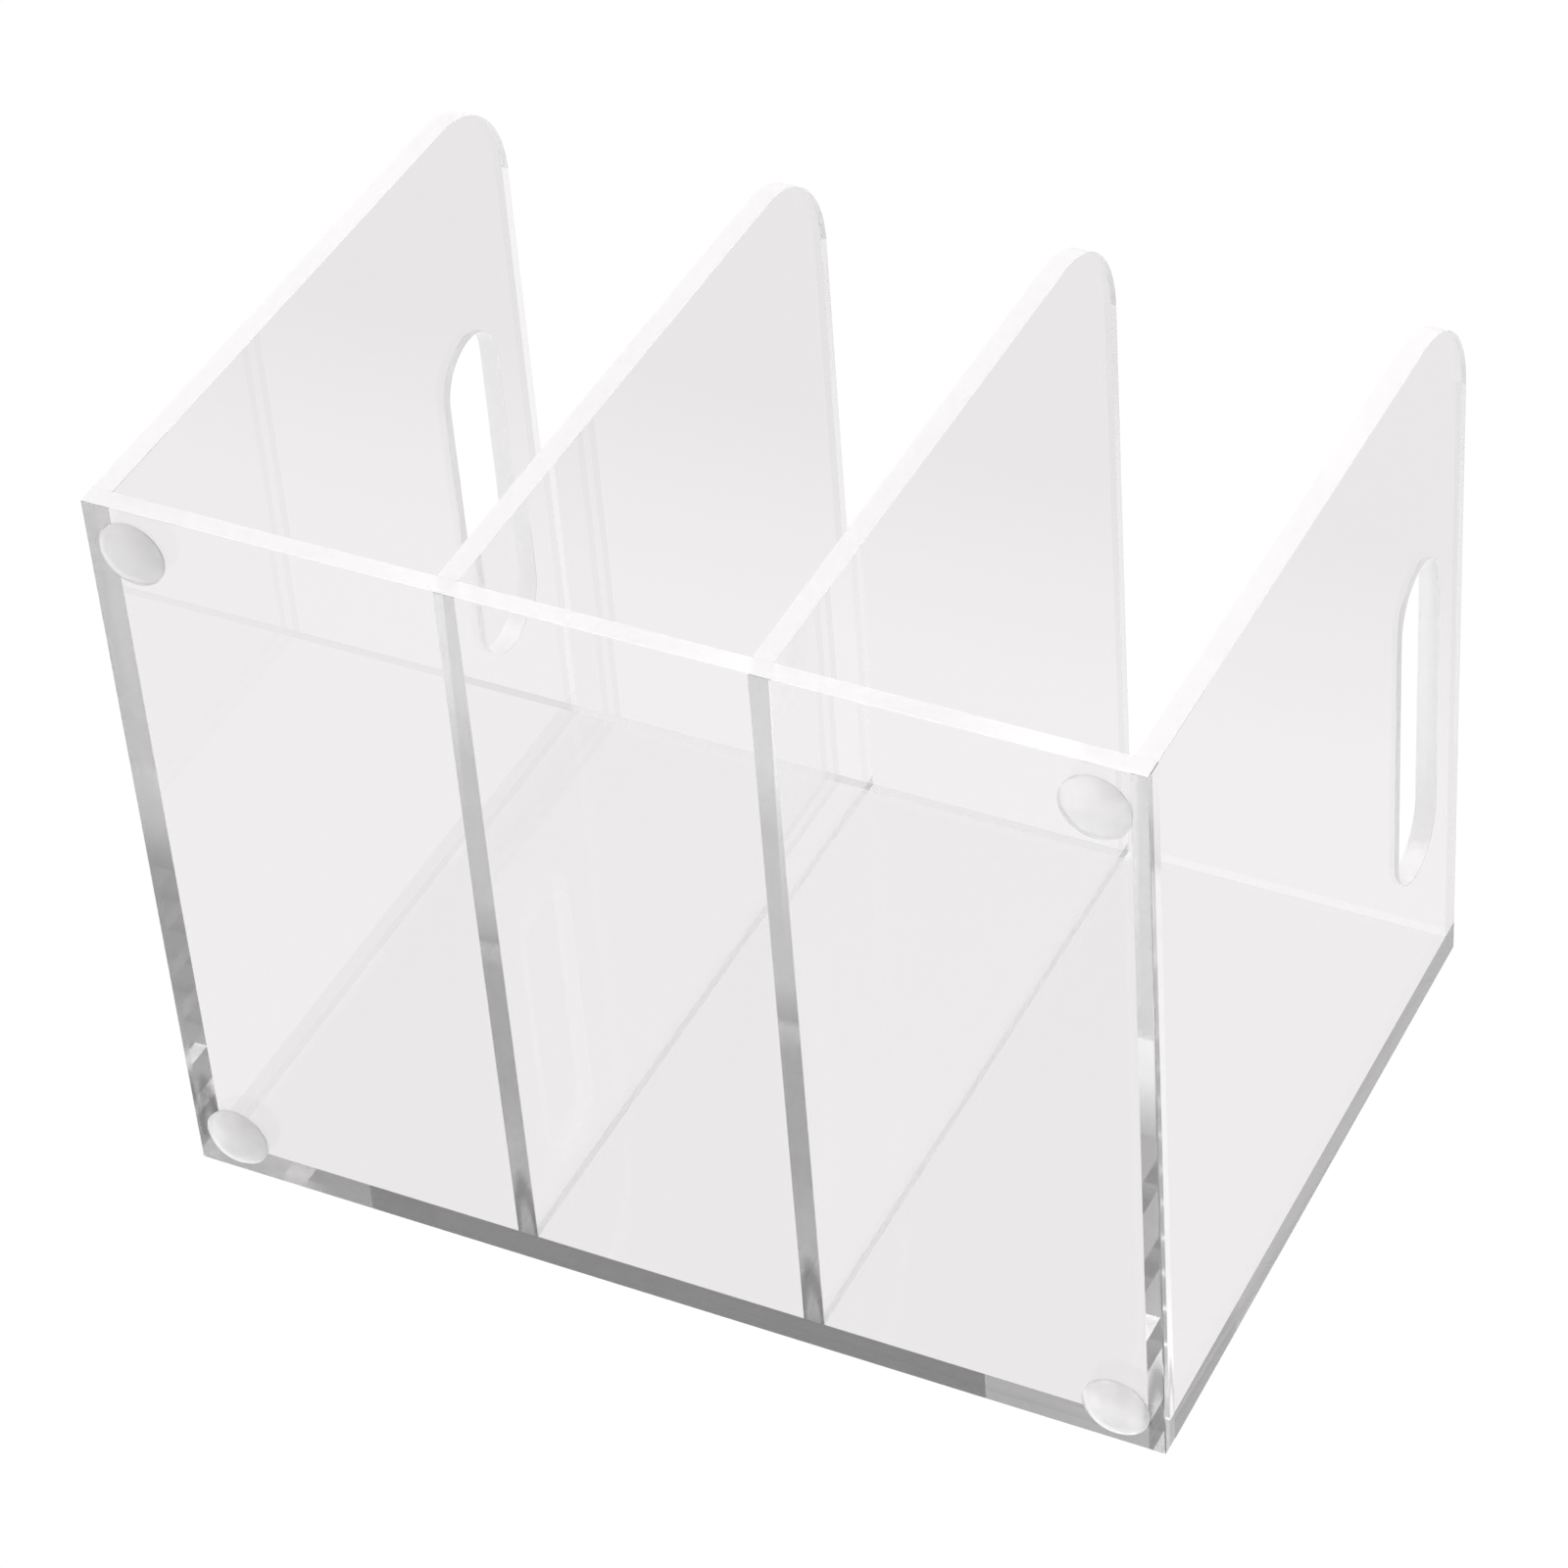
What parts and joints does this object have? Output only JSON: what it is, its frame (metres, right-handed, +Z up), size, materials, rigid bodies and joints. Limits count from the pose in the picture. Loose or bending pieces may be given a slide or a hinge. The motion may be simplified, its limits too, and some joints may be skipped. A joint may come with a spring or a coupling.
{
  "type": "desktop file sorter",
  "caption": "Clear acrylic file sorter with a base, a back and upright dividers, open at the front and top, with handle slots in the side panels and clear feet.",
  "frame": {"origin": "on the desk surface, under the middle of the sorter's outline", "axes": "+X to the right seen from the open front, +Y from the open front to the back panel, +Z up"},
  "size_m": [0.29, 0.23, 0.2144],
  "materials": {
    "clear_acrylic": "clear cast acrylic sheet, polished faces and edges",
    "foot_polyurethane": "translucent soft polyurethane, slightly cloudy",
    "foot_adhesive": "clear acrylic adhesive film"
  },
  "bodies": {
    "root": {"base_plate": "clear_acrylic", "back_panel": "clear_acrylic", "left_side_panel": "clear_acrylic", "right_side_panel": "clear_acrylic", "left_divider": "clear_acrylic", "right_divider": "clear_acrylic", "front_left_foot": "foot_polyurethane", "front_right_foot": "foot_polyurethane", "back_left_foot": "foot_polyurethane", "back_right_foot": "foot_polyurethane", "front_left_foot_adhesive": "foot_adhesive", "front_right_foot_adhesive": "foot_adhesive", "back_left_foot_adhesive": "foot_adhesive", "back_right_foot_adhesive": "foot_adhesive"}
  },
  "joints": []
}
